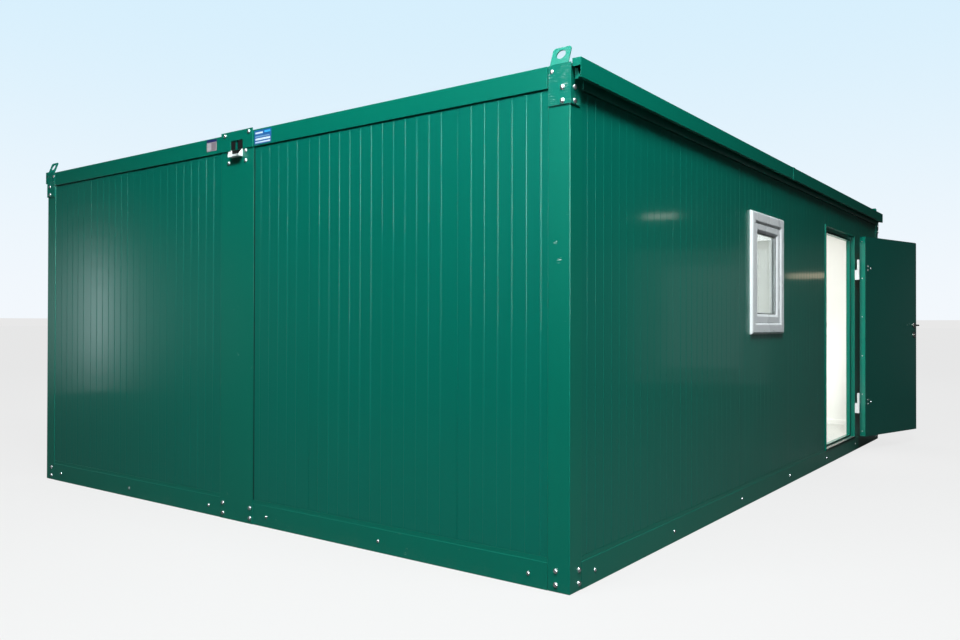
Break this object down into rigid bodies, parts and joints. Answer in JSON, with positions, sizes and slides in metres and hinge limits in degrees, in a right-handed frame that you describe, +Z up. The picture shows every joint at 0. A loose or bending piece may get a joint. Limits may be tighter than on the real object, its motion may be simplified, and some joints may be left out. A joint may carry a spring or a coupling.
{
  "type": "portable site cabin",
  "caption": "Flat-roofed green panelled site cabin of twin modules joined side by side, with a window, an open hinged door with lever handle, and corner lifting lugs.",
  "frame": {"origin": "On the ground at the middle of the cabin, on the underside of the middle packer between the two modules.", "axes": "X across the width, +X towards the side with the door and window; Y along the length, the front end faces -Y; Z up."},
  "size_m": [4.8514, 6.116, 2.2983],
  "materials": {
    "green_paint": "glossy dark green coil coating on steel sheet, fine scratches at the lugs",
    "white_lining": "satin white lining",
    "galvanised": "galvanised steel",
    "floor_vinyl": "light grey vinyl floor",
    "white_upvc": "white plastic",
    "glass": "clear double glazing",
    "aluminium": "brushed aluminium strip",
    "satin_steel": "satin steel door furniture"
  },
  "bodies": {
    "cabin": {"base_rails_ends": "green_paint", "base_rails_sides": "green_paint", "base_rails_inner": "green_paint", "base_packers": "galvanised", "floor_bearers": "galvanised", "floor_boards": "floor_vinyl", "floor_joint_strip": "aluminium", "corner_posts_front": "green_paint", "corner_posts_back": "green_paint", "centre_posts": "green_paint", "front_wall_door_module": "green_paint", "front_wall_plain_module": "green_paint", "back_wall_door_module": "green_paint", "back_wall_plain_module": "green_paint", "plain_side_wall": "green_paint", "door_side_panel_1": "green_paint", "door_side_panel_2": "green_paint", "window_panel": "green_paint", "door_side_panel_4": "green_paint", "door_head_panel": "green_paint", "door_side_panel_6": "green_paint", "roof_rails_ends": "green_paint", "roof_rails_sides": "green_paint", "roof_beams_inner": "white_lining", "ceilings": "white_lining", "roof_sheets": "galvanised", "roof_joint_cap": "galvanised", "side_gutters": "green_paint", "gutter_straps": "green_paint", "centre_covers": "green_paint", "splice_plates": "green_paint", "rainwater_outlets": "white_upvc", "lifting_lugs": "green_paint", "window_frame": "white_upvc", "window_sash": "white_upvc", "window_glass": "glass", "door_jambs": "green_paint", "door_head": "green_paint", "door_threshold": "green_paint", "frame_hinges": "white_upvc"},
    "door": {"door_leaf": "green_paint", "leaf_hinges": "white_upvc", "door_rosettes": "satin_steel"},
    "handle": {"door_handle": "satin_steel"}
  },
  "joints": [
    {"name": "door_hinge", "type": "hinge", "parent": "cabin", "child": "door", "pos_m": [2.236, 2.0105, 1], "axis": [0, 0, 1], "range_deg": [-164, 8]},
    {"name": "handle_turn", "type": "hinge", "parent": "door", "child": "handle", "pos_m": [2.5213, 2.87848, 1.13], "axis": [0.9613, -0.2756, 0], "range_deg": [0, 40], "stiffness_Nm_per_rad": 1.2, "springref_deg": -11.46}
  ]
}
